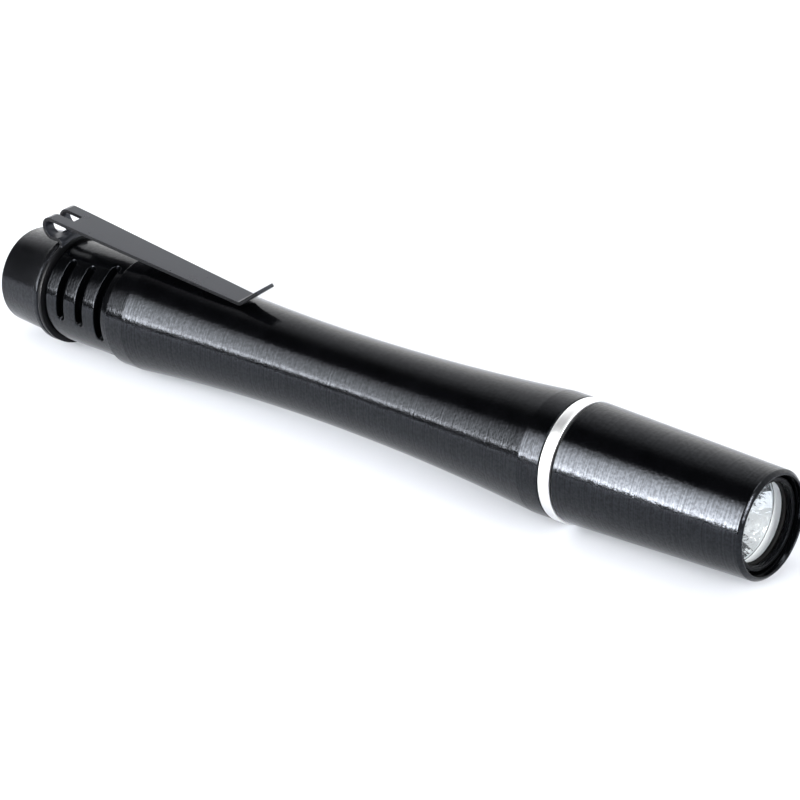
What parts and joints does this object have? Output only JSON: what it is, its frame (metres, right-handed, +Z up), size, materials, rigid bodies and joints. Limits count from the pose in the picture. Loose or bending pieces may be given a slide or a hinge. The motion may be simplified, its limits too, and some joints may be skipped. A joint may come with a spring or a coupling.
{
  "type": "uv flashlight",
  "caption": "Slim black pen torch with an ultraviolet emitter, waisted metal barrel, bright trim ring, pocket clip, slotted grip and tail push button; runs on AAA cells in line",
  "frame": {"origin": "under the middle of the torch, on the surface that it lies on", "axes": "+X along the torch toward the light, +Z up through the pocket clip, the push button toward -X"},
  "size_m": [0.1356, 0.017, 0.0206],
  "materials": {
    "black_anodised": "black anodised, finely turned",
    "bright_ring": "bright turned",
    "clip_black": "black coated spring steel",
    "lens_glass": "clear",
    "reflector_chrome": "mirror",
    "emitter": "clear dome on a pale base",
    "white_plastic": "matt",
    "circuit_board": "green solder mask",
    "lead_red": "insulated",
    "lead_black": "insulated",
    "brass": "turned",
    "spring_steel": "drawn wire",
    "seal_rubber": "smooth",
    "cell_wrap": null,
    "button_black": "satin",
    "switch_black": "moulded"
  },
  "bodies": {
    "torch_body": {"head_shell": "black_anodised", "bezel_ring": "black_anodised", "lens": "lens_glass", "lens_o_ring": "seal_rubber", "reflector": "reflector_chrome", "led_emitter": "emitter", "led_gasket": "white_plastic", "led_board": "white_plastic", "led_pill": "brass", "driver_board": "circuit_board", "led_lead_positive": "lead_red", "led_lead_negative": "lead_black", "front_contact_spring": "spring_steel", "trim_ring": "bright_ring", "barrel": "black_anodised", "head_o_ring": "seal_rubber", "rear_cell": "cell_wrap", "front_cell": "cell_wrap", "pocket_clip": "clip_black"},
    "tail_seal": {"tail_o_ring": "seal_rubber"},
    "tail_cap": {"tail_cap": "black_anodised", "switch_housing": "switch_black", "switch_spring": "spring_steel", "switch_base": "switch_black", "switch_retainer": "brass", "rear_contact": "brass", "rear_contact_spring": "spring_steel"},
    "button": {"tail_button": "button_black", "switch_plunger": "white_plastic"}
  },
  "joints": [
    {"name": "cap_travel", "type": "slide", "parent": "torch_body", "child": "tail_seal", "axis": [-1, 0, 0], "range_m": [0, 0.004]},
    {"name": "cap_turn", "type": "hinge", "parent": "tail_seal", "child": "tail_cap", "pos_m": [-0.0583, 0, 0.00851], "axis": [-1, 0, 0], "range_deg": [0, 1440]},
    {"name": "button_press", "type": "slide", "parent": "tail_cap", "child": "button", "axis": [1, 0, 0], "range_m": [0, 0.0013], "stiffness_N_per_m": 1500, "springref_m": -0.001, "deforming": ["switch_spring"]}
  ],
  "couplings": [
    {"joint": "cap_turn", "follows": "cap_travel", "rad_per_m": 6283.2}
  ]
}
